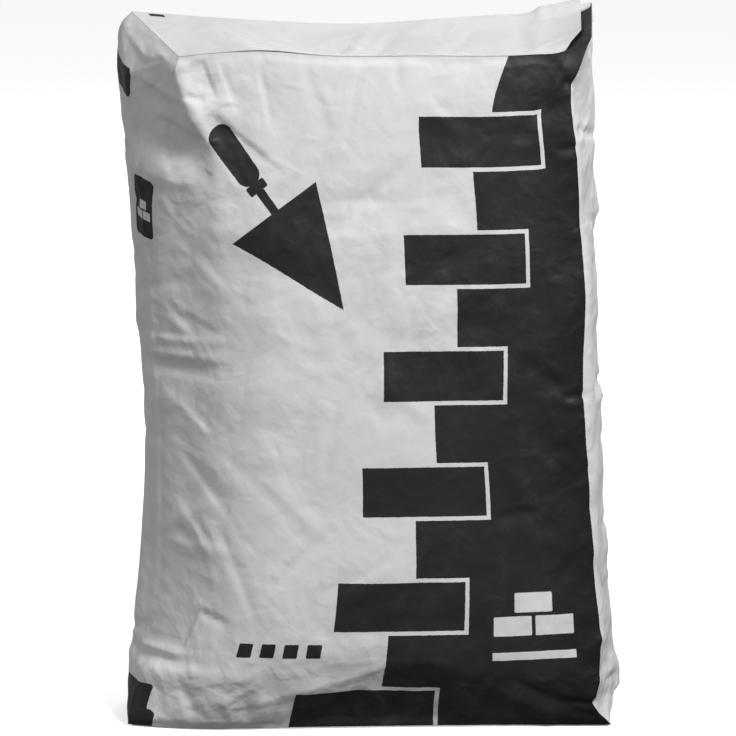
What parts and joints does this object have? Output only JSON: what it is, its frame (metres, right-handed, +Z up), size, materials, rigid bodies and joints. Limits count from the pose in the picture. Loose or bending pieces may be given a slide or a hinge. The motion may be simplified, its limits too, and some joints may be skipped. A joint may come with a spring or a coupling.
{
  "type": "cement bag",
  "caption": "Filled block-bottom paper valve sack for cement, standing upright on its folded bottom, with a white top cover sheet and a valve in one top corner.",
  "frame": {"origin": "on the floor, under the middle of the sack's box", "axes": "+Z up, from the folded bottom to the top end; +X to the right of the printed front, towards the valve corner; the printed front faces -Y"},
  "size_m": [0.3942, 0.1382, 0.5523],
  "materials": {
    "printed_paper": "light grey sack paper with a matt charcoal print",
    "cover_paper": "plain white sack paper, matt",
    "valve_paper": "plain off-white sack paper, matt"
  },
  "bodies": {
    "root": {"sack_body": "printed_paper", "top_cover_sheet": "cover_paper", "bottom_cover_sheet": "cover_paper", "valve_sleeve": "valve_paper"}
  },
  "joints": []
}
